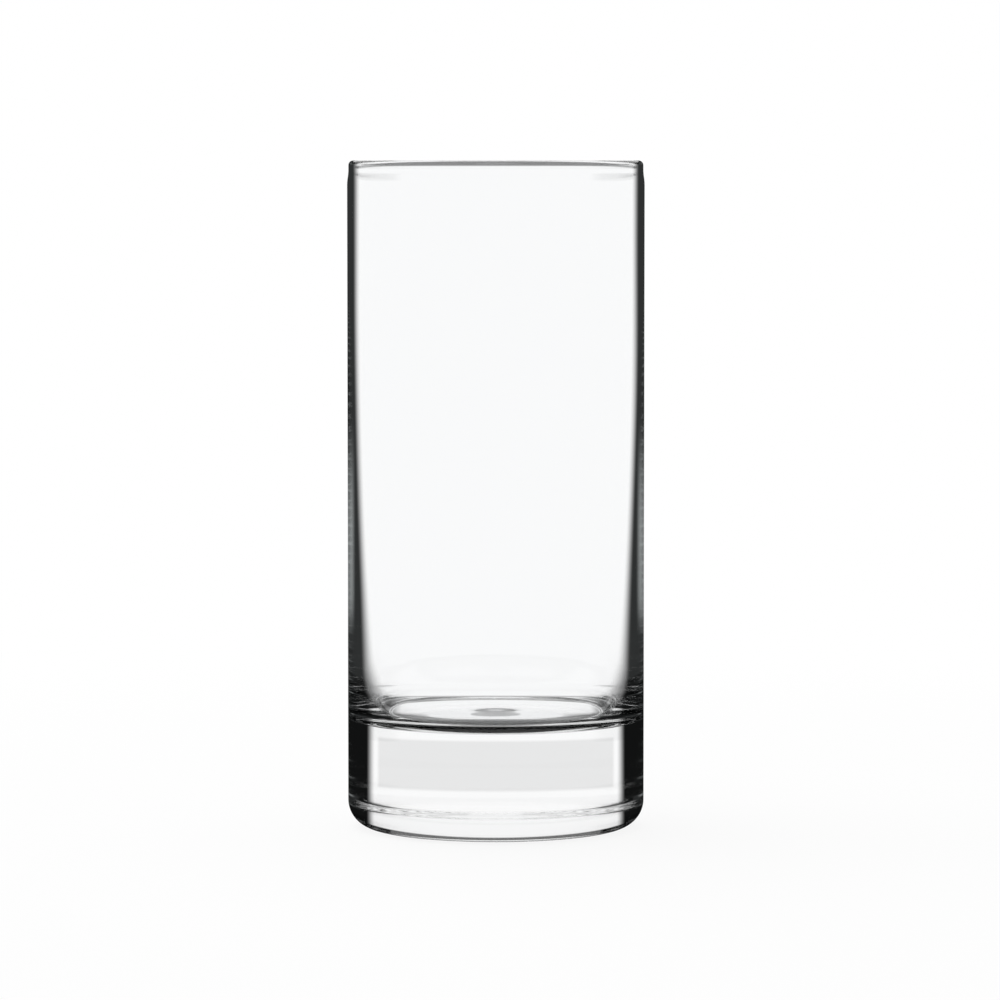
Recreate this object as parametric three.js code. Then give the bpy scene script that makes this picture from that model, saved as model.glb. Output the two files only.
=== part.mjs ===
// A straight-sided liqueur glass: one piece of clear glass, a cylinder with a thick solid base,
// a wall that thickens downwards, a flat cavity floor with rounded corners and a soft lip.
// Millimetres, +Z up. The origin is the centre of the foot, in the plane that the glass stands on.

import * as THREE from 'three';

// Driving dimensions
const outerDiameter = 40;
const overallHeight = 90;
const floorHeight = 14.2; // from the resting plane up to the cavity floor: the solid base

// Wall
const rimWall = 1.27; // thickness near the mouth
const footWall = 2.42; // thickness where the wall meets the shoulder of the cavity
const evenWallDepth = 17; // from the lip down, the wall keeps its rim thickness over this depth
const thickeningPower = 1.65; // how late the wall thickens on its way down

// Bottom of the cavity
const shoulderHeight = 6.6; // above the cavity floor: here the wall starts to bow inwards
const shoulderLean = 14; // degrees off upright that the shoulder has reached at the fillet
const cavityFillet = 3.35; // radius between shoulder and cavity floor

// Lip
const lipDraw = 0.24; // the melted lip is drawn in by this much
const lipDrawTop = 1.2; // depth below the lip's crest where the drawing-in is complete
const lipDrawHeight = 1.5; // height over which the wall eases over to the lip

// Foot
const heelRadius = 3.7; // outer bottom edge
const restingRingWidth = 2.3; // flat ring that touches the table
const undersideHollow = 0.9; // rise of the underside at its centre

// Fineness of the turned form
const turnSteps = 64;
const hollowSteps = 5;
const heelSteps = 7;
const drawSteps = 4;
const lipSteps = 8;
const wallSteps = 10;
const shoulderSteps = 3;
const filletSteps = 7;

// Worked out from the sizes above
const outerRadius = outerDiameter / 2;
const lipRadius = rimWall / 2;
const hollowRadius = outerRadius - heelRadius - restingRingWidth;
const shoulderTop = floorHeight + shoulderHeight;
const evenWallEnd = overallHeight - evenWallDepth;
const drawEnd = overallHeight - lipDrawTop;
const drawStart = drawEnd - lipDrawHeight;

// An even rise from 0 to 1 that starts and ends level
const ease = (share) => (1 - Math.cos(Math.PI * share)) / 2;

// How far the lip's drawing-in has moved the wall at height z
function drawnIn(z) {
  const share = THREE.MathUtils.clamp((z - drawStart) / lipDrawHeight, 0, 1);
  return lipDraw * ease(share);
}

// Wall thickness at height z, between the shoulder and the lip
function wallAt(z) {
  const share = THREE.MathUtils.clamp((evenWallEnd - z) / (evenWallEnd - shoulderTop), 0, 1);
  return rimWall + (footWall - rimWall) * share ** thickeningPower;
}

// Calls make(share) for evenly spread shares from 0 to 1, both ends included
const along = (steps, make) => Array.from({ length: steps + 1 }, (_, i) => make(i / steps));

// A point on an arc about (r, z), at a share of the way from one angle to another
function onArc(r, z, radius, from, to, share) {
  const angle = THREE.MathUtils.lerp(from, to, share);
  return new THREE.Vector2(r + radius * Math.cos(angle), z + radius * Math.sin(angle));
}

// The underside: a shallow hollow that runs out level into the resting ring
const underside = along(hollowSteps, (share) => {
  return new THREE.Vector2(hollowRadius * share, undersideHollow * (1 - ease(share)));
});

// The rounded heel, from the resting ring to the side
const heel = along(heelSteps, (share) => {
  return onArc(outerRadius - heelRadius, heelRadius, heelRadius, -Math.PI / 2, 0, share);
});

// The outside where the lip is drawn in
const lipOutside = along(drawSteps, (share) => {
  const z = drawStart + lipDrawHeight * share;
  return new THREE.Vector2(outerRadius - drawnIn(z), z);
});

// The lip's half-round crest, from outside to inside
const lipCentre = outerRadius - lipDraw - lipRadius;
const lip = along(lipSteps, (share) => {
  return onArc(lipCentre, overallHeight - lipRadius, lipRadius, 0, Math.PI, share);
});

// The inside where the lip is drawn in
const lipInside = along(drawSteps, (share) => {
  const z = drawEnd - lipDrawHeight * share;
  return new THREE.Vector2(outerRadius - drawnIn(z) - wallAt(z), z);
});

// The inside of the wall, even at first and then thickening down to the shoulder
const wallInside = along(wallSteps, (share) => {
  const z = THREE.MathUtils.lerp(evenWallEnd, shoulderTop, share);
  return new THREE.Vector2(outerRadius - wallAt(z), z);
});

// The shoulder: a wide arc that leaves the wall at the wall's own lean and meets the fillet smoothly
const fullLean = THREE.MathUtils.degToRad(shoulderLean);
const wallLean = Math.atan(((footWall - rimWall) * thickeningPower) / (evenWallEnd - shoulderTop));
const filletDrop = cavityFillet * (1 - Math.sin(fullLean));
const shoulderRadius = (shoulderHeight - filletDrop) / (Math.sin(fullLean) - Math.sin(wallLean));
const shoulderCentre = new THREE.Vector2(
  outerRadius - footWall - shoulderRadius * Math.cos(wallLean),
  shoulderTop + shoulderRadius * Math.sin(wallLean),
);
const shoulder = along(shoulderSteps, (share) => {
  return onArc(shoulderCentre.x, shoulderCentre.y, shoulderRadius, -wallLean, -fullLean, share);
}).slice(1);

// The fillet between shoulder and floor; like the shoulder's, its first point is the one before
const filletCentre = shoulderCentre.x + (shoulderRadius - cavityFillet) * Math.cos(fullLean);
const fillet = along(filletSteps, (share) => {
  return onArc(filletCentre, floorHeight + cavityFillet, cavityFillet, -fullLean, -Math.PI / 2, share);
}).slice(1);

const floorCentre = new THREE.Vector2(0, floorHeight);

function makeTumbler() {
  const profile = [
    ...underside,
    ...heel,
    ...lipOutside,
    ...lip,
    ...lipInside,
    ...wallInside,
    ...shoulder,
    ...fillet,
    floorCentre,
  ];
  const geometry = new THREE.LatheGeometry(profile, turnSteps);
  geometry.rotateX(Math.PI / 2);

  const clearGlass = new THREE.MeshStandardMaterial({
    color: 0xeef4f4,
    roughness: 0.02,
    metalness: 0,
    transparent: true,
    opacity: 0.35,
  });

  const tumbler = new THREE.Mesh(geometry, clearGlass);
  tumbler.name = 'tumbler';
  return tumbler;
}

const liqueurGlass = new THREE.Group();
liqueurGlass.name = 'liqueur_glass';
liqueurGlass.add(makeTumbler());

export default liqueurGlass;
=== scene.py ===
"""A clear liqueur glass in a pale photographic studio.

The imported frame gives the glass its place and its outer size. The settings in the sidebar give the rest:
the run of the wall, the bottom of the cavity, the lip, the heel and the hollow underside.
The outline is drawn as a turner would draw it and then turned round the glass's own axis.
"""

import math

import bpy
from bpy.props import FloatProperty, FloatVectorProperty, IntProperty, PointerProperty
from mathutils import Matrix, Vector


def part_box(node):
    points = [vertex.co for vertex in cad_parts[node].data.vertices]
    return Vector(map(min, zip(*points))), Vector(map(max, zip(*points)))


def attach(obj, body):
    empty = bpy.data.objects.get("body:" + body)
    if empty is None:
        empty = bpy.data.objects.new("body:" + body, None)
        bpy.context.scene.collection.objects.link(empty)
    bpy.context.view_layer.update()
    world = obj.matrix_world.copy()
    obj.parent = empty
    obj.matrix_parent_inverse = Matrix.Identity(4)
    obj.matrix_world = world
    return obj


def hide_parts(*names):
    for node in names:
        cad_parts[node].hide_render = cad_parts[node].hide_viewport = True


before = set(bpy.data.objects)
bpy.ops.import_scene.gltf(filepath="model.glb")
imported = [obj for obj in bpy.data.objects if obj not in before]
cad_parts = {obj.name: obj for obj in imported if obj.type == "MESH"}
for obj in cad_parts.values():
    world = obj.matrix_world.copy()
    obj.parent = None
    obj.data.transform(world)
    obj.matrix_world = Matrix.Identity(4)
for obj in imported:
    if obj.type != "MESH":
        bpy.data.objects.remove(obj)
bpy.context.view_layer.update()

bl_info = {
    "name": "Liqueur Glass",
    "version": (1, 0, 0),
    "blender": (4, 5, 0),
    "location": "3D View > Sidebar > Liqueur Glass",
    "description": "Turns a clear liqueur glass and sets up the studio that it is photographed in",
    "category": "Add Mesh",
}

MM = 0.001
NODE = "tumbler"
BODY = "root"
NODE_LOW, NODE_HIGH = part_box(NODE)


# Settings

def length(name, default, description):
    """A length in metres that a user may change."""
    return FloatProperty(
        name=name, description=description, default=default, min=0.0, unit="LENGTH", precision=4
    )


def share(name, default, description):
    """A plain number between 0 and 1."""
    return FloatProperty(
        name=name, description=description, default=default, min=0.0, max=1.0, subtype="FACTOR"
    )


def colour(name, default, description):
    """A linear colour."""
    return FloatVectorProperty(
        name=name, description=description, default=default, size=3, min=0.0, max=1.0, subtype="COLOR"
    )


class GlassShape(bpy.types.PropertyGroup):
    """Sizes of the glass."""

    outer_diameter: length("Outer diameter", NODE_HIGH.x - NODE_LOW.x, "Across the straight side")
    overall_height: length("Height", NODE_HIGH.z - NODE_LOW.z, "From the table to the lip's crest")
    floor_height: length("Cavity floor", 14.2 * MM, "From the table up to the cavity floor")
    rim_wall: length("Wall at the rim", 1.27 * MM, "Wall thickness near the mouth")
    foot_wall: length("Wall at the foot", 2.42 * MM, "Wall thickness where the shoulder starts")
    even_wall_depth: length("Even wall", 17 * MM, "Depth over which the wall keeps its thickness")
    thickening_power: FloatProperty(
        name="Thickening",
        description="How late the wall thickens on its way down",
        default=1.65,
        min=1.0,
        max=4.0,
    )
    shoulder_height: length("Shoulder", 6.6 * MM, "Height above the floor where the wall starts to bow in")
    shoulder_lean: FloatProperty(
        name="Shoulder lean",
        description="How far off upright the shoulder is where it meets the fillet",
        default=math.radians(14),
        min=math.radians(4),
        max=math.radians(60),
        subtype="ANGLE",
    )
    cavity_fillet: length("Cavity fillet", 3.35 * MM, "Radius between shoulder and cavity floor")
    lip_draw: length("Lip draw", 0.18 * MM, "How far the melted lip is drawn in")
    lip_draw_top: length("Lip draw depth", 1.2 * MM, "Depth below the crest where the lip is fully drawn in")
    lip_draw_height: length("Lip draw height", 2.1 * MM, "Height over which the wall eases to the lip")
    heel_radius: length("Heel", 3.7 * MM, "Radius of the outer bottom edge")
    resting_ring_width: length("Resting ring", 2.3 * MM, "Width of the flat ring that touches the table")
    underside_hollow: length("Underside", 0.9 * MM, "Rise of the underside at its centre")
    turn_steps: IntProperty(
        name="Turn steps", description="Sides of the turned glass", default=256, min=32, max=512
    )


class GlassFinish(bpy.types.PropertyGroup):
    """Material of the glass."""

    tint: colour("Tint", (0.988, 0.991, 0.993), "What the glass lets through")
    deep_tint: colour("Deep tint", (0.982, 0.987, 0.990), "What it lets through in its faint clouds")
    ripple: length("Ripple", 0.03 * MM, "Height of the soft waves in the polished surface")
    smear: share("Smear", 0.02, "Roughness of the faintest smears on the surface")
    ior: FloatProperty(
        name="Refraction", description="Index of refraction", default=1.52, min=1.0, max=2.5
    )


class StudioSettings(bpy.types.PropertyGroup):
    """The table, the lamps and the black shield round the glass."""

    table_colour: colour("Table", (0.9, 0.9, 0.9), "Colour of the table")
    table_white: share("Table white", 0.9, "Share of the table that shows as plain white")
    ambient: share("Room light", 0.3, "Light that the white room throws on the table")
    lamp_power: FloatProperty(
        name="Softbox", description="Power of the softbox", default=20.0, min=0.0, unit="POWER"
    )
    shield_colour: colour("Shield", (0.95, 1.0, 1.0), "Colour of the faint gleam on the shield")


class LiqueurGlass(bpy.types.PropertyGroup):
    """All settings."""

    shape: PointerProperty(type=GlassShape)
    finish: PointerProperty(type=GlassFinish)
    studio: PointerProperty(type=StudioSettings)


# Outline of the glass

# Steps along each stretch of the outline
UNDERSIDE_STEPS = 24
HEEL_STEPS = 40
SIDE_STEPS = 16
DRAW_STEPS = 12
LIP_STEPS = 24
UPPER_WALL_STEPS = 8
LOWER_WALL_STEPS = 48
SHOULDER_STEPS = 16
FILLET_STEPS = 32
FLOOR_STEPS = 6

# A short straight where an arc meets a flat keeps the smooth shading true there
HOLD = 0.06 * MM
MERGE_DISTANCE = 0.002 * MM


def ease(x):
    """An even rise from 0 to 1 that starts and ends level."""
    return (1 - math.cos(math.pi * min(max(x, 0), 1))) / 2


class Form:
    """Sizes worked out from the shape's settings."""

    def __init__(self, shape):
        self.shape = shape
        self.radius = shape.outer_diameter / 2
        self.height = shape.overall_height
        self.lip_radius = shape.rim_wall / 2
        self.hollow_radius = self.radius - shape.heel_radius - shape.resting_ring_width
        self.draw_end = self.height - shape.lip_draw_top
        self.draw_start = self.draw_end - shape.lip_draw_height
        self.even_end = self.height - shape.even_wall_depth
        self.shoulder_top = shape.floor_height + shape.shoulder_height
        self.lean = shape.shoulder_lean
        thickening = (shape.foot_wall - shape.rim_wall) * shape.thickening_power
        self.wall_lean = math.atan(thickening / (self.even_end - self.shoulder_top))
        fillet_drop = shape.cavity_fillet * (1 - math.sin(self.lean))
        lean_gain = math.sin(self.lean) - math.sin(self.wall_lean)
        self.shoulder_radius = (shape.shoulder_height - fillet_drop) / lean_gain
        self.shoulder_r = self.radius - shape.foot_wall - self.shoulder_radius * math.cos(self.wall_lean)
        self.shoulder_z = self.shoulder_top + self.shoulder_radius * math.sin(self.wall_lean)
        self.fillet_r = self.shoulder_r + (self.shoulder_radius - shape.cavity_fillet) * math.cos(self.lean)
        self.fillet_z = shape.floor_height + shape.cavity_fillet

    def drawn_in(self, z):
        """How far the lip's drawing-in has moved the wall at height z."""
        return self.shape.lip_draw * ease((z - self.draw_start) / self.shape.lip_draw_height)

    def wall(self, z):
        """Wall thickness at height z, between the shoulder and the lip."""
        run = (self.even_end - z) / (self.even_end - self.shoulder_top)
        thicker = min(max(run, 0), 1) ** self.shape.thickening_power
        return self.shape.rim_wall + (self.shape.foot_wall - self.shape.rim_wall) * thicker

    def outside(self, z):
        """Outer radius at height z, between the heel and the lip."""
        return self.radius - self.drawn_in(z)

    def inside(self, z):
        """Inner radius at height z, between the shoulder and the lip."""
        return self.outside(z) - self.wall(z)


class Pen:
    """Draws an outline in the XZ plane: the last point is extruded along lines and spun along arcs."""

    def __init__(self, name, r, z):
        bpy.ops.object.select_all(action="DESELECT")
        bpy.ops.mesh.primitive_plane_add(size=MM)
        self.object = bpy.context.object
        self.object.name = name
        self.object.data.name = name
        bpy.ops.object.mode_set(mode="EDIT")
        bpy.ops.mesh.select_all(action="SELECT")
        bpy.ops.mesh.merge(type="CENTER")
        bpy.ops.transform.translate(value=(r, 0, z))
        self.r = r
        self.z = z

    def line(self, r, z):
        """Draws a straight line to (r, z)."""
        bpy.ops.mesh.extrude_vertices_move(
            TRANSFORM_OT_translate={"value": (r - self.r, 0, z - self.z)}
        )
        self.r = r
        self.z = z

    def lines(self, steps, point):
        """Draws to point(share) for evenly spread shares, up to and with 1."""
        for step in range(1, steps + 1):
            self.line(*point(step / steps))

    def arc(self, centre_r, centre_z, turn, steps):
        """Draws an arc about a centre by a turn that is positive from +X towards +Z."""
        bpy.ops.mesh.spin(
            steps=steps, angle=turn, center=(centre_r, 0, centre_z), axis=(0, 1, 0)
        )
        start = Vector((self.r - centre_r, self.z - centre_z))
        self.r = centre_r + start.x * math.cos(turn) - start.y * math.sin(turn)
        self.z = centre_z + start.x * math.sin(turn) + start.y * math.cos(turn)

    def turned(self, steps):
        """Turns the whole outline round the Z axis and leaves a closed, smooth mesh."""
        bpy.ops.mesh.select_all(action="SELECT")
        bpy.ops.mesh.spin(steps=steps, angle=2 * math.pi, center=(0, 0, 0), axis=(0, 0, 1))
        bpy.ops.mesh.select_all(action="SELECT")
        bpy.ops.mesh.remove_doubles(threshold=MERGE_DISTANCE)
        bpy.ops.mesh.normals_make_consistent(inside=False)
        bpy.ops.object.mode_set(mode="OBJECT")
        bpy.ops.object.shade_smooth()
        return self.object


def draw_tumbler(shape):
    """The whole outline of the glass, from the underside's centre round to the cavity floor's."""
    form = Form(shape)
    pen = Pen(NODE + "_glass", 0, shape.underside_hollow)

    def underside(run):
        return form.hollow_radius * run, shape.underside_hollow * (1 - ease(run))

    pen.lines(UNDERSIDE_STEPS, underside)
    ring_end = form.radius - shape.heel_radius
    pen.line(ring_end - HOLD, 0)
    pen.line(ring_end, 0)
    pen.arc(ring_end, shape.heel_radius, math.pi / 2, HEEL_STEPS)
    side_start = shape.heel_radius + HOLD
    pen.line(form.radius, side_start)

    def side(run):
        return form.radius, side_start + (form.draw_start - side_start) * run

    pen.lines(SIDE_STEPS, side)

    def drawn_outside(run):
        z = form.draw_start + shape.lip_draw_height * run
        return form.outside(z), z

    pen.lines(DRAW_STEPS, drawn_outside)
    crest_z = form.height - form.lip_radius
    crest_r = form.radius - shape.lip_draw - form.lip_radius
    pen.line(crest_r + form.lip_radius, crest_z)
    pen.arc(crest_r, crest_z, math.pi, LIP_STEPS)
    pen.line(crest_r - form.lip_radius, form.draw_end)

    def drawn_inside(run):
        z = form.draw_end - shape.lip_draw_height * run
        return form.inside(z), z

    pen.lines(DRAW_STEPS, drawn_inside)

    def upper_wall(run):
        z = form.draw_start + (form.even_end - form.draw_start) * run
        return form.inside(z), z

    def lower_wall(run):
        z = form.even_end + (form.shoulder_top - form.even_end) * run
        return form.inside(z), z

    pen.lines(UPPER_WALL_STEPS, upper_wall)
    pen.lines(LOWER_WALL_STEPS, lower_wall)
    pen.arc(form.shoulder_r, form.shoulder_z, form.wall_lean - form.lean, SHOULDER_STEPS)
    pen.arc(form.fillet_r, form.fillet_z, form.lean - math.pi / 2, FILLET_STEPS)
    floor_start = form.fillet_r - HOLD
    pen.line(floor_start, shape.floor_height)

    def cavity_floor(run):
        return floor_start * (1 - run), shape.floor_height

    pen.lines(FLOOR_STEPS, cavity_floor)
    return pen.turned(shape.turn_steps)


# Materials

WHITE = (1, 1, 1, 1)


def new_material(name):
    """An empty node material."""
    material = bpy.data.materials.new(name)
    material.use_nodes = True
    material.node_tree.nodes.clear()
    return material


def add_node(tree, kind, **inputs):
    """A node with some of its inputs set: a value is written on the input, and a socket is linked to it."""
    node = tree.nodes.new(kind)
    for name, value in inputs.items():
        socket = node.inputs[name.replace("_", " ")]
        if isinstance(value, bpy.types.NodeSocket):
            tree.links.new(value, socket)
        else:
            socket.default_value = value
    return node


def compute(tree, operation, *values):
    """The result of a Math node."""
    node = tree.nodes.new("ShaderNodeMath")
    node.operation = operation
    for socket, value in zip(node.inputs, values):
        if isinstance(value, bpy.types.NodeSocket):
            tree.links.new(value, socket)
        else:
            socket.default_value = value
    return node.outputs[0]


def smooth_step(tree, value, start, end):
    """Rises smoothly from 0 where value is at start to 1 where it is at end."""
    node = tree.nodes.new("ShaderNodeMapRange")
    node.interpolation_type = "SMOOTHSTEP"
    node.inputs["From Min"].default_value = start
    node.inputs["From Max"].default_value = end
    tree.links.new(value, node.inputs["Value"])
    return node.outputs["Result"]


def window(tree, value, start, end, soft):
    """1 where value lies between start and end, with a soft change of the width soft inside both."""
    rise = smooth_step(tree, value, start, start + soft)
    fall = compute(tree, "SUBTRACT", 1.0, smooth_step(tree, value, end - soft, end))
    return compute(tree, "MULTIPLY", rise, fall)


def blend(tree, amount, first, second):
    """A number between first, where amount is 0, and second, where it is 1. Either may be a socket."""
    node = tree.nodes.new("ShaderNodeMix")
    node.data_type = "FLOAT"
    tree.links.new(amount, node.inputs["Factor"])
    for socket, value in ((node.inputs["A"], first), (node.inputs["B"], second)):
        if isinstance(value, bpy.types.NodeSocket):
            tree.links.new(value, socket)
        else:
            socket.default_value = value
    return node.outputs["Result"]


def scale_up(tree, value, factor, start):
    """value * factor + start, where start may be a socket."""
    return compute(tree, "ADD", compute(tree, "MULTIPLY", value, factor), start)


def combine(tree, operation, *vectors):
    """The vector that a Vector Math node makes."""
    node = tree.nodes.new("ShaderNodeVectorMath")
    node.operation = operation
    for socket, vector in zip(node.inputs, vectors):
        if isinstance(vector, bpy.types.NodeSocket):
            tree.links.new(vector, socket)
        else:
            socket.default_value = vector
    return node.outputs["Vector"]


# The waves are longer along the glass than round it
RIPPLE_STRETCH = (1, 1, 0.35)
RIPPLE_SCALE = 60
RIPPLE_DETAIL = 1.0
CLOUD_SCALE = 35
CLOUD_DETAIL = 2.0
SMEAR_SCALE = 150
SMEAR_DETAIL = 4.0
SMEAR_RANGE = (0.52, 0.78)


def polished_surface():
    """Node group: the soft waves, faint clouds and fainter smears of a fire-polished glass."""
    group = bpy.data.node_groups.new("polished_surface", "ShaderNodeTree")
    for name, kind in (("Clear", "Color"), ("Cloudy", "Color"), ("Smear", "Float")):
        group.interface.new_socket(name, in_out="INPUT", socket_type="NodeSocket" + kind)
    for name, kind in (("Color", "Color"), ("Roughness", "Float"), ("Height", "Float")):
        group.interface.new_socket(name, in_out="OUTPUT", socket_type="NodeSocket" + kind)
    given = group.nodes.new("NodeGroupInput")
    made = group.nodes.new("NodeGroupOutput")
    place = group.nodes.new("ShaderNodeTexCoord").outputs["Object"]

    stretched = combine(group, "MULTIPLY", place, RIPPLE_STRETCH)
    waves = add_node(
        group, "ShaderNodeTexNoise", Vector=stretched, Scale=RIPPLE_SCALE, Detail=RIPPLE_DETAIL
    )
    clouds = add_node(group, "ShaderNodeTexNoise", Vector=place, Scale=CLOUD_SCALE, Detail=CLOUD_DETAIL)
    smears = add_node(group, "ShaderNodeTexNoise", Vector=place, Scale=SMEAR_SCALE, Detail=SMEAR_DETAIL)
    tint = group.nodes.new("ShaderNodeMix")
    tint.data_type = "RGBA"
    factor, first, second = [socket for socket in tint.inputs if socket.enabled]
    group.links.new(clouds.outputs["Fac"], factor)
    group.links.new(given.outputs["Clear"], first)
    group.links.new(given.outputs["Cloudy"], second)
    smeared = smooth_step(group, smears.outputs["Fac"], *SMEAR_RANGE)
    roughness = compute(group, "MULTIPLY", smeared, given.outputs["Smear"])
    group.links.new([socket for socket in tint.outputs if socket.enabled][0], made.inputs["Color"])
    group.links.new(roughness, made.inputs["Roughness"])
    group.links.new(waves.outputs["Fac"], made.inputs["Height"])
    return group


def glass_material(finish):
    """Clear glass with a polish that is nearly even."""
    material = new_material("clear_glass")
    tree = material.node_tree
    output = tree.nodes.new("ShaderNodeOutputMaterial")
    surface = tree.nodes.new("ShaderNodeGroup")
    surface.node_tree = polished_surface()
    surface.inputs["Clear"].default_value = (*finish.tint, 1)
    surface.inputs["Cloudy"].default_value = (*finish.deep_tint, 1)
    surface.inputs["Smear"].default_value = finish.smear
    ripples = add_node(
        tree, "ShaderNodeBump", Strength=1.0, Distance=finish.ripple, Height=surface.outputs["Height"]
    )
    glass = add_node(
        tree,
        "ShaderNodeBsdfPrincipled",
        Base_Color=surface.outputs["Color"],
        Roughness=surface.outputs["Roughness"],
        Metallic=0.0,
        IOR=finish.ior,
        Normal=ripples.outputs["Normal"],
        Transmission_Weight=1.0,
    )
    tree.links.new(glass.outputs["BSDF"], output.inputs["Surface"])
    return material


# Lamp

LAMP_SIZE = 1.6
LAMP_PLACE = Vector((-0.3, 0.3, 1.3))
LAMP_AIM = Vector((0, 0, 0.05))


def make_lamp(studio):
    """One wide softbox overhead."""
    bpy.ops.object.light_add(type="AREA", location=LAMP_PLACE)
    lamp = bpy.context.object
    lamp.name = "softbox"
    lamp.rotation_euler = (LAMP_AIM - LAMP_PLACE).to_track_quat("-Z", "Y").to_euler()
    lamp.data.shape = "SQUARE"
    lamp.data.size = LAMP_SIZE
    lamp.data.energy = studio.lamp_power
    lamp.visible_camera = False
    lamp.visible_glossy = False
    lamp.visible_transmission = False


# Rays

class RayPath:
    """What a surface knows of a ray that meets it: its height, its slope up or down, and its depth.

    The depth is how far inside the glass's outline the ray passes, as seen from its side. It stays the same
    however often a round glass bends the ray on its way.
    A Layer Weight node gives the ray's share along a direction without its sign. The sign of the rise comes
    from two directions, one tilted up and one tilted down.
    """

    def __init__(self, tree, outline_radius):
        place = tree.nodes.new("ShaderNodeTexCoord")
        parts = tree.nodes.new("ShaderNodeSeparateXYZ")
        tree.links.new(place.outputs["Object"], parts.inputs[0])
        self.tree = tree
        self.y = parts.outputs["Y"]
        self.z = parts.outputs["Z"]
        across = add_node(tree, "ShaderNodeCombineXYZ", X=parts.outputs["X"], Y=parts.outputs["Y"])
        measure = add_node(tree, "ShaderNodeVectorMath")
        measure.operation = "LENGTH"
        tree.links.new(across.outputs[0], measure.inputs[0])
        self.radius = measure.outputs["Value"]
        away = combine(tree, "NORMALIZE", across.outputs[0])
        up = add_node(tree, "ShaderNodeCombineXYZ", Z=1.0).outputs[0]
        self.outward = self.along(away)
        self.steep = self.along(up)
        along_rise = self.along(combine(tree, "NORMALIZE", combine(tree, "ADD", away, up)))
        along_fall = self.along(combine(tree, "NORMALIZE", combine(tree, "SUBTRACT", away, up)))
        way = compute(tree, "SIGN", compute(tree, "SUBTRACT", along_rise, along_fall))
        self.rise = compute(tree, "MULTIPLY", self.steep, way)
        self.fall = compute(tree, "MULTIPLY", self.rise, -1.0)
        self.level2 = compute(tree, "SUBTRACT", 1.0, compute(tree, "POWER", self.steep, 2.0))
        aside2 = compute(tree, "SUBTRACT", self.level2, compute(tree, "POWER", self.outward, 2.0))
        aside = compute(tree, "SQRT", compute(tree, "MAXIMUM", aside2, 0.0))
        self.depth = compute(tree, "SUBTRACT", outline_radius, compute(tree, "MULTIPLY", aside, self.radius))

    def along(self, direction):
        """How far the ray runs along a direction, as a share of its length."""
        weight = add_node(self.tree, "ShaderNodeLayerWeight", Normal=direction)
        return compute(self.tree, "SUBTRACT", 1.0, weight.outputs["Facing"])

    def outside(self, edge, soft):
        """1 for a ray that passes further out than edge and 0 for one nearer the axis."""
        past_edge = compute(self.tree, "DIVIDE", compute(self.tree, "SUBTRACT", self.depth, edge), soft)
        return smooth_step(self.tree, past_edge, 0.5, -0.5)


# Studio

TABLE_SIZE = 8.0

# The camera sees the lit table near the glass and plain white further out
NEAR_TABLE_RADIUS = 0.13
FAR_TABLE_RADIUS = 0.25

# Painted shade: through the glass, the table is dark in front of this line, out to this radius
FOOT_SHADE_DEPTH = 5 * MM
FOOT_SHADE_SOFT = 4 * MM
FOOT_SHADE_RADIUS = 34 * MM
FOOT_SHADE_FADE = 6 * MM

# A half dark ring of painted shade round the foot
RIM_SHADE_START = 21.5 * MM
RIM_SHADE_END = 29 * MM
RIM_SHADE_FADE = 2.5 * MM
RIM_SHADE = 0.5

# Painted shade: rays near the glass's outline find the table dark as far out as the foot
SIDE_SHADE_EDGE = 6.5 * MM
SIDE_SHADE_SOFT = 2 * MM
SIDE_SHADE_END = (21.6 * MM, 21.9 * MM)


def make_table(shape, studio):
    """The pale table.

    What the glass shows of it carries painted shade: dark in front of the foot's middle and a little dark
    round the foot.
    """
    bpy.ops.object.select_all(action="DESELECT")
    bpy.ops.mesh.primitive_plane_add(size=TABLE_SIZE)
    table = bpy.context.object
    table.name = "table"
    material = new_material("table")
    tree = material.node_tree
    output = tree.nodes.new("ShaderNodeOutputMaterial")
    path = tree.nodes.new("ShaderNodeLightPath")
    ray = RayPath(tree, shape.outer_diameter / 2)
    # Painted shade and painted light on the table, seen only through the glass: dark in front of the foot
    # and round it, light behind it. Mirrored in the glass, the table is dark out to the foot shade's radius.
    behind = smooth_step(tree, ray.y, FOOT_SHADE_DEPTH, FOOT_SHADE_DEPTH + FOOT_SHADE_SOFT)
    outside = smooth_step(tree, ray.radius, FOOT_SHADE_RADIUS, FOOT_SHADE_RADIUS + FOOT_SHADE_FADE)
    foot_light = compute(tree, "MAXIMUM", behind, outside)
    rim_shade = window(tree, ray.radius, RIM_SHADE_START, RIM_SHADE_END, RIM_SHADE_FADE)
    rim_light = blend(tree, rim_shade, 1.0, 1 - RIM_SHADE)
    past_foot = smooth_step(tree, ray.radius, *SIDE_SHADE_END)
    side_light = blend(tree, ray.outside(SIDE_SHADE_EDGE, SIDE_SHADE_SOFT), 1.0, past_foot)
    through_glass = compute(tree, "MULTIPLY", foot_light, compute(tree, "MULTIPLY", rim_light, side_light))
    off_glass = blend(tree, path.outputs["Is Glossy Ray"], 1.0, outside)
    level = blend(tree, path.outputs["Is Transmission Ray"], off_glass, through_glass)

    far = smooth_step(tree, ray.radius, NEAR_TABLE_RADIUS, FAR_TABLE_RADIUS)
    near_white = blend(tree, far, studio.table_white, 1.0)
    by_camera = compute(tree, "MULTIPLY", path.outputs["Is Camera Ray"], near_white)
    by_glass = compute(tree, "MAXIMUM", path.outputs["Is Glossy Ray"], path.outputs["Is Transmission Ray"])
    white_share = compute(tree, "MAXIMUM", by_camera, by_glass)
    matt = add_node(tree, "ShaderNodeBsdfDiffuse", Color=(*studio.table_colour, 1))
    white = add_node(tree, "ShaderNodeEmission", Color=WHITE, Strength=level)
    mix = add_node(tree, "ShaderNodeMixShader", Fac=white_share)
    tree.links.new(matt.outputs[0], mix.inputs[1])
    tree.links.new(white.outputs[0], mix.inputs[2])
    tree.links.new(mix.outputs[0], output.inputs["Surface"])
    table.data.materials.append(material)


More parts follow.
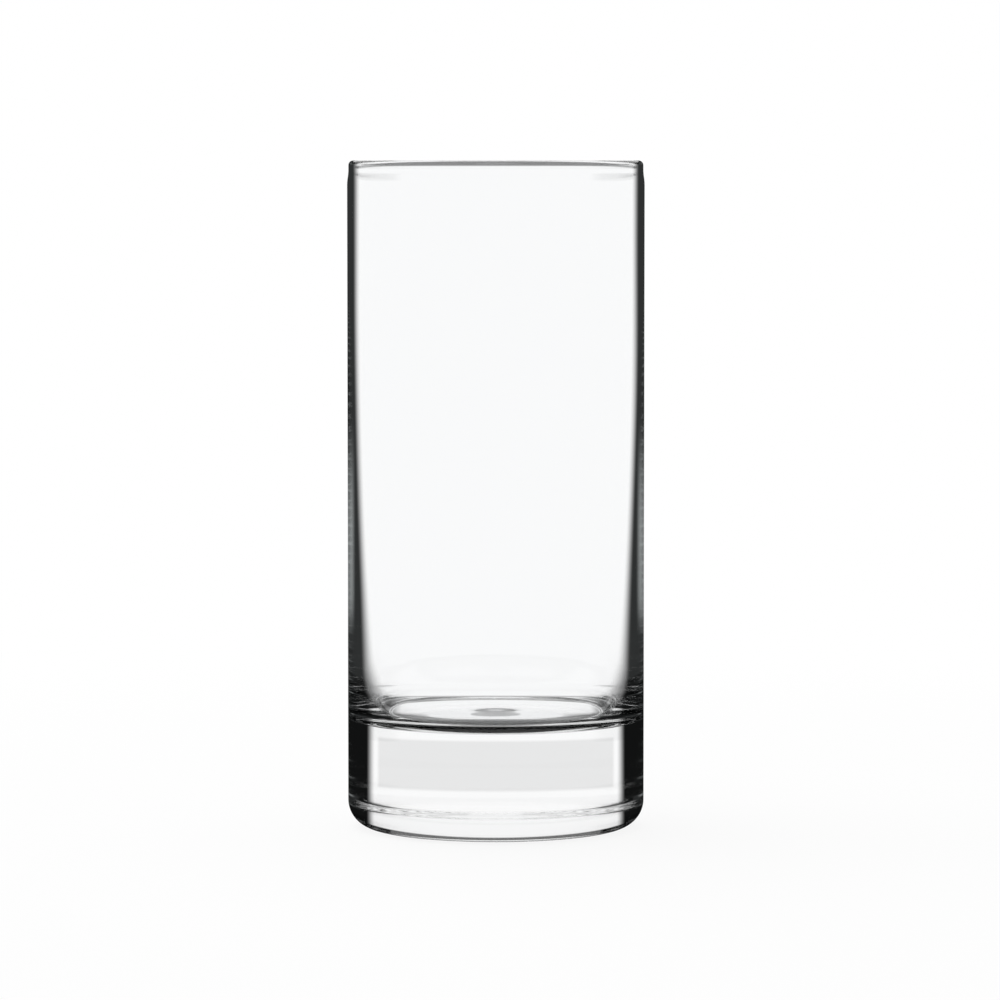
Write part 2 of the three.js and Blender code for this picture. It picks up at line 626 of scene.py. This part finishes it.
def make_room(studio):
    """The white room: plain white where it is seen, softer where it lights the table.

    Light that has come off the table doesn't go on to the room through the glass.
    """
    world = bpy.data.worlds.new("room")
    bpy.context.scene.world = world
    world.use_nodes = True
    tree = world.node_tree
    tree.nodes.clear()
    output = tree.nodes.new("ShaderNodeOutputWorld")
    path = tree.nodes.new("ShaderNodeLightPath")
    mirrored = compute(tree, "MAXIMUM", path.outputs["Is Glossy Ray"], path.outputs["Is Transmission Ray"])
    seen = compute(tree, "MAXIMUM", mirrored, path.outputs["Is Camera Ray"])
    first = compute(tree, "LESS_THAN", path.outputs["Diffuse Depth"], 0.5)
    white = compute(tree, "MULTIPLY", seen, first)
    bounced = compute(tree, "SUBTRACT", 1.0, first)
    blocked = compute(tree, "MULTIPLY", path.outputs["Is Transmission Ray"], bounced)
    open_sky = compute(tree, "SUBTRACT", 1.0, blocked)
    level = tree.nodes.new("ShaderNodeMapRange")
    level.inputs["To Min"].default_value = studio.ambient
    tree.links.new(white, level.inputs["Value"])
    strength = compute(tree, "MULTIPLY", level.outputs["Result"], open_sky)
    background = add_node(tree, "ShaderNodeBackground", Color=WHITE, Strength=strength)
    tree.links.new(background.outputs[0], output.inputs["Surface"])


SHIELD_RADIUS = 21.9 * MM
SHIELD_START_Z = 0.3 * MM
SHIELD_OVER = 2 * MM

# Each EDGE below is the depth down to which the shield is black for one kind of ray, and each SOFT the
# width of the change there. RISE and FALL are how steeply the ray climbs or drops, and Z is its height.

# Along the wall the edge lies deeper towards the shoulder, as the wall thickens
LINING_EDGE = 1.27 * MM
LINING_GAIN = 1.56 * MM
LINING_POWER = 1.95
LINING_SOFT = 1.0 * MM
LINING_SOFT_GAIN = 0.9 * MM
LINING_SOFT_POWER = 4

# From here down it leans further in, round the corner of the cavity
CORNER_TOP_Z = 21 * MM
CORNER_DEPTH = 5 * MM
CORNER_LEAN = 0.2
CORNER_SOFT_LEAN = 0.25

# Rays that cross the solid base
BASE_TOP_Z = 12.5 * MM
BASE_TOP_SOFT = 1 * MM
BASE_EDGE = 3.2 * MM
BASE_SOFT = 1.2 * MM
BASE_FALL = (0.15, 0.22)

# Rays that leave level with the cavity floor
FLOOR_Z = (12.5 * MM, 16.5 * MM, 0.5 * MM)
FLOOR_RISE = (-0.34, -0.26)
FLOOR_EDGE = 6.5 * MM
FLOOR_SOFT = 2 * MM

# Rays that leave upwards, above the base
RISING = (0.08, 0.16)
RISING_Z = (13 * MM, 15 * MM)
RISING_EDGE = 6.6 * MM
RISING_SOFT = 2.2 * MM

# Rays that leave steeply upwards: a dark band under the cavity floor
BAND_Z = (11 * MM, 13 * MM)
BAND_END_Z = (22 * MM, 25 * MM)
BAND_RISE = (0.38, 0.46)
BAND_EDGE = 8 * MM
BAND_SOFT = 3 * MM
BAND_SHARE = 0.85

# Rays that have come through the lip, found by following them back across the mouth.
# The wall bends them a little on the way, so they are followed to just short of the lip's own radius.
LIP_RADIUS = 17.8 * MM
LIP_REACH = SHIELD_RADIUS + LIP_RADIUS
LIP_Z = (89.15 * MM, 91.0 * MM, 0.25 * MM)
LIP_SHARE = 0.9

# Rays that the outside has mirrored: a dark line at the cavity floor
MIRROR_Z = (14.2 * MM, 19.2 * MM, 0.5 * MM)

# Where the shield is clear it lets nearly all light through, and less across the base: painted shade, where
# the base shows the table behind the glass
BASE_SHADE_START_Z = 3.4 * MM
BASE_SHADE_END_Z = 10.8 * MM
BASE_SHADE_SOFT = 0.5 * MM
BASE_SHADE_EDGE = (3.9 * MM, 4.4 * MM)
BASE_SHADE_STEEP = (0.15, 0.25)
BASE_SHADE_FALL = (-0.02, 0.0)
BASE_SHADE_SHARE = 0.17
CLEAR_SHARE = 0.975

# The black is a little bright along the outline at half height, and blackest at the base
GLEAM_EDGE = (0.4 * MM, 1.1 * MM)
GLEAM_RISE_Z = (24.5 * MM, 31 * MM)
GLEAM_FALL_Z = (39 * MM, 56 * MM)
GLEAM_LEVEL = 0.27
WALL_DARK_Z = (19.2 * MM, 19.8 * MM)
WALL_DARK_LEVEL = 0.03
BASE_DARK_LEVEL = 0.006


class ShieldRay(RayPath):
    """A ray on its way out through the shield."""

    def straight_step(self, value, start, end):
        """Straight rise from 0 at start to 1 at end, and no further either way."""
        run = compute(self.tree, "SUBTRACT", value, start)
        rise = compute(self.tree, "MAXIMUM", compute(self.tree, "DIVIDE", run, end - start), 0.0)
        return compute(self.tree, "MINIMUM", rise, 1.0)

    def slanting(self, form):
        """1 for a ray that passes too far out for the opening that the shield has for rays of its kind."""
        tree = self.tree
        down = self.straight_step(self.z, form.even_end, form.shoulder_top)
        edge = scale_up(tree, compute(tree, "POWER", down, LINING_POWER), LINING_GAIN, LINING_EDGE)
        soft = scale_up(tree, compute(tree, "POWER", down, LINING_SOFT_POWER), LINING_SOFT_GAIN, LINING_SOFT)
        into = compute(tree, "MAXIMUM", compute(tree, "SUBTRACT", CORNER_TOP_Z, self.z), 0.0)
        edge = scale_up(tree, into, CORNER_LEAN, edge)
        soft = scale_up(tree, compute(tree, "MINIMUM", into, CORNER_DEPTH), CORNER_SOFT_LEAN, soft)

        below = smooth_step(tree, self.z, BASE_TOP_Z + BASE_TOP_SOFT, BASE_TOP_Z)
        base = blend(tree, smooth_step(tree, self.fall, *BASE_FALL), below, 0.0)
        at_floor = compute(
            tree, "MULTIPLY", window(tree, self.z, *FLOOR_Z), smooth_step(tree, self.rise, *FLOOR_RISE)
        )
        rising = compute(
            tree, "MULTIPLY", smooth_step(tree, self.z, *RISING_Z), smooth_step(tree, self.rise, *RISING)
        )
        for kind, kind_edge, kind_soft in (
            (base, BASE_EDGE, BASE_SOFT),
            (at_floor, FLOOR_EDGE, FLOOR_SOFT),
            (rising, RISING_EDGE, RISING_SOFT),
        ):
            edge = blend(tree, kind, edge, kind_edge)
            soft = blend(tree, kind, soft, kind_soft)
        return self.outside(edge, soft)

    def at_lip(self):
        """How much is stopped of a ray that has come through the lip, on the near side or the far one."""
        tree = self.tree
        slope = compute(tree, "DIVIDE", compute(tree, "MULTIPLY", self.fall, self.outward), self.level2)
        near = window(tree, scale_up(tree, slope, LIP_REACH, self.z), *LIP_Z)
        far = window(tree, self.z, *LIP_Z)
        return compute(tree, "MULTIPLY", compute(tree, "MAXIMUM", near, far), LIP_SHARE)

    def stopped(self, slanting):
        """1 where the shield is black for a ray that has come through the glass."""
        tree = self.tree
        rising = compute(
            tree, "MULTIPLY", smooth_step(tree, self.z, *BAND_Z), smooth_step(tree, self.rise, *BAND_RISE)
        )
        low = blend(tree, smooth_step(tree, self.z, *BAND_END_Z), 1.0, self.outside(BAND_EDGE, BAND_SOFT))
        band = compute(tree, "MULTIPLY", rising, low)
        band = compute(tree, "MULTIPLY", band, BAND_SHARE)
        return compute(tree, "MAXIMUM", slanting, compute(tree, "MAXIMUM", band, self.at_lip()))

    def stopped_mirrored(self, slanting):
        """1 where the shield is black for a ray that the outside of the glass has thrown back."""
        return compute(self.tree, "MAXIMUM", slanting, window(self.tree, self.z, *MIRROR_Z))

    def clear_with_base_shade(self):
        """What the shield lets through: nearly all, and less across the base, where painted shade dims it.
        """
        tree = self.tree
        # Painted shade across the base: level and falling rays that leave the base, away from the axis
        shade_mask = window(tree, self.z, BASE_SHADE_START_Z, BASE_SHADE_END_Z, BASE_SHADE_SOFT)
        shade_mask = compute(tree, "MULTIPLY", shade_mask, smooth_step(tree, self.depth, *BASE_SHADE_EDGE))
        shade_mask = compute(tree, "MULTIPLY", shade_mask, smooth_step(tree, self.fall, *BASE_SHADE_FALL))
        shade_mask = blend(tree, smooth_step(tree, self.steep, *BASE_SHADE_STEEP), shade_mask, 0.0)
        return blend(tree, shade_mask, CLEAR_SHARE, CLEAR_SHARE - BASE_SHADE_SHARE)

    def gleam(self):
        """How bright the black is: a soft gleam runs along the outline at half height."""
        tree = self.tree
        high = smooth_step(tree, self.z, *GLEAM_RISE_Z)
        high = blend(tree, smooth_step(tree, self.z, *GLEAM_FALL_Z), high, 0.0)
        along = blend(tree, smooth_step(tree, self.depth, *GLEAM_EDGE), high, 0.0)
        dark = blend(tree, smooth_step(tree, self.z, *WALL_DARK_Z), BASE_DARK_LEVEL, WALL_DARK_LEVEL)
        return scale_up(tree, along, GLEAM_LEVEL, dark)


def make_shield(shape, studio):
    """A round black shield that lets light through only near the glass's axis.

    Clear glass on white shows no edge. Black cards at its sides give it one, but only for one camera.
    This shield is clear to a ray that passes near the axis and black to one that passes far from it, so
    the glass has the same dark edges from every side. It isn't seen itself and casts no shadow.
    """
    form = Form(shape)
    pen = Pen("shield", SHIELD_RADIUS, SHIELD_START_Z)
    pen.line(SHIELD_RADIUS, form.height + SHIELD_OVER)
    shield = pen.turned(shape.turn_steps)
    shield.visible_camera = False
    shield.visible_diffuse = False
    shield.visible_shadow = False
    shield.visible_volume_scatter = False

    material = new_material("shield")
    tree = material.node_tree
    output = tree.nodes.new("ShaderNodeOutputMaterial")
    path = tree.nodes.new("ShaderNodeLightPath")
    ray = ShieldRay(tree, form.radius)
    slanting = ray.slanting(form)
    closed = blend(
        tree, path.outputs["Is Transmission Ray"], ray.stopped_mirrored(slanting), ray.stopped(slanting)
    )
    # The clear part of the shield carries the painted shade across the base
    clear = add_node(tree, "ShaderNodeBsdfTransparent", Color=ray.clear_with_base_shade())
    black = add_node(tree, "ShaderNodeEmission", Color=(*studio.shield_colour, 1), Strength=ray.gleam())
    mix = add_node(tree, "ShaderNodeMixShader", Fac=closed)
    tree.links.new(clear.outputs[0], mix.inputs[1])
    tree.links.new(black.outputs[0], mix.inputs[2])
    tree.links.new(mix.outputs[0], output.inputs["Surface"])
    shield.data.materials.append(material)


# The framing, in pixels of a square picture
PHOTO_SIZE_PX = 1000
FOCAL_PX = 5000
AXIS_COLUMN_PX = 495.9
RIM_ROW_PX = 160.5
GLASS_WIDTH_PX = 296.9
SENSOR_WIDTH_MM = 36


def make_camera(shape):
    """The camera stands level with the rim, a long lens's distance away, and looks down a little."""
    scale = GLASS_WIDTH_PX / shape.outer_diameter
    distance = FOCAL_PX / scale
    down = math.atan((PHOTO_SIZE_PX / 2 - RIM_ROW_PX) / FOCAL_PX)
    aside = math.atan((PHOTO_SIZE_PX / 2 - AXIS_COLUMN_PX) / FOCAL_PX)
    bpy.ops.object.camera_add(
        location=(0, -distance, shape.overall_height),
        rotation=(math.pi / 2 - down, 0, -aside),
    )
    camera = bpy.context.object
    camera.data.sensor_width = SENSOR_WIDTH_MM
    camera.data.lens = FOCAL_PX / PHOTO_SIZE_PX * SENSOR_WIDTH_MM
    bpy.context.scene.camera = camera


LIGHT_BOUNCES = 128


def set_bounces(scene):
    """Light inside a thick base is thrown back many times before it leaves."""
    scene.cycles.max_bounces = LIGHT_BOUNCES
    scene.cycles.glossy_bounces = LIGHT_BOUNCES
    scene.cycles.transmission_bounces = LIGHT_BOUNCES
    scene.cycles.transparent_max_bounces = LIGHT_BOUNCES


# Operators and panel

class TumblerOperator(bpy.types.Operator):
    """Turn the glass and give it its clear material."""

    bl_idname = "liqueur_glass.tumbler"
    bl_label = "Add Glass"
    bl_options = {"REGISTER", "UNDO"}

    def execute(self, context):
        settings = context.scene.liqueur_glass
        glass = draw_tumbler(settings.shape)
        glass.data.materials.append(glass_material(settings.finish))
        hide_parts(NODE)
        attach(glass, BODY)
        return {"FINISHED"}


class StudioOperator(bpy.types.Operator):
    """Set up the table, the room, the lamp, the shield and the camera."""

    bl_idname = "liqueur_glass.studio"
    bl_label = "Add Studio"
    bl_options = {"REGISTER", "UNDO"}

    def execute(self, context):
        settings = context.scene.liqueur_glass
        context.scene.view_settings.view_transform = "Standard"
        make_table(settings.shape, settings.studio)
        make_room(settings.studio)
        make_lamp(settings.studio)
        make_shield(settings.shape, settings.studio)
        make_camera(settings.shape)
        set_bounces(context.scene)
        return {"FINISHED"}


class LiqueurGlassPanel(bpy.types.Panel):
    """Sidebar panel with the settings and the two operators."""

    bl_idname = "VIEW3D_PT_liqueur_glass"
    bl_label = "Liqueur Glass"
    bl_space_type = "VIEW_3D"
    bl_region_type = "UI"
    bl_category = "Liqueur Glass"

    def draw(self, context):
        settings = context.scene.liqueur_glass
        for title, group, operator in (
            ("Shape", settings.shape, TumblerOperator.bl_idname),
            ("Finish", settings.finish, None),
            ("Studio", settings.studio, StudioOperator.bl_idname),
        ):
            box = self.layout.box()
            box.label(text=title)
            for name in group.bl_rna.properties.keys():
                if name not in {"rna_type", "name"}:
                    box.prop(group, name)
            if operator:
                box.operator(operator)


CLASSES = (
    GlassShape,
    GlassFinish,
    StudioSettings,
    LiqueurGlass,
    TumblerOperator,
    StudioOperator,
    LiqueurGlassPanel,
)


def register():
    """Registers the classes and hangs the settings on the scene."""
    for cls in CLASSES:
        bpy.utils.register_class(cls)
    bpy.types.Scene.liqueur_glass = PointerProperty(type=LiqueurGlass)


def unregister():
    """Takes the settings and the classes away again."""
    del bpy.types.Scene.liqueur_glass
    for cls in reversed(CLASSES):
        bpy.utils.unregister_class(cls)


def main():
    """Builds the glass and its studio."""
    register()
    bpy.ops.liqueur_glass.tumbler()
    bpy.ops.liqueur_glass.studio()


if __name__ == "__main__":
    main()
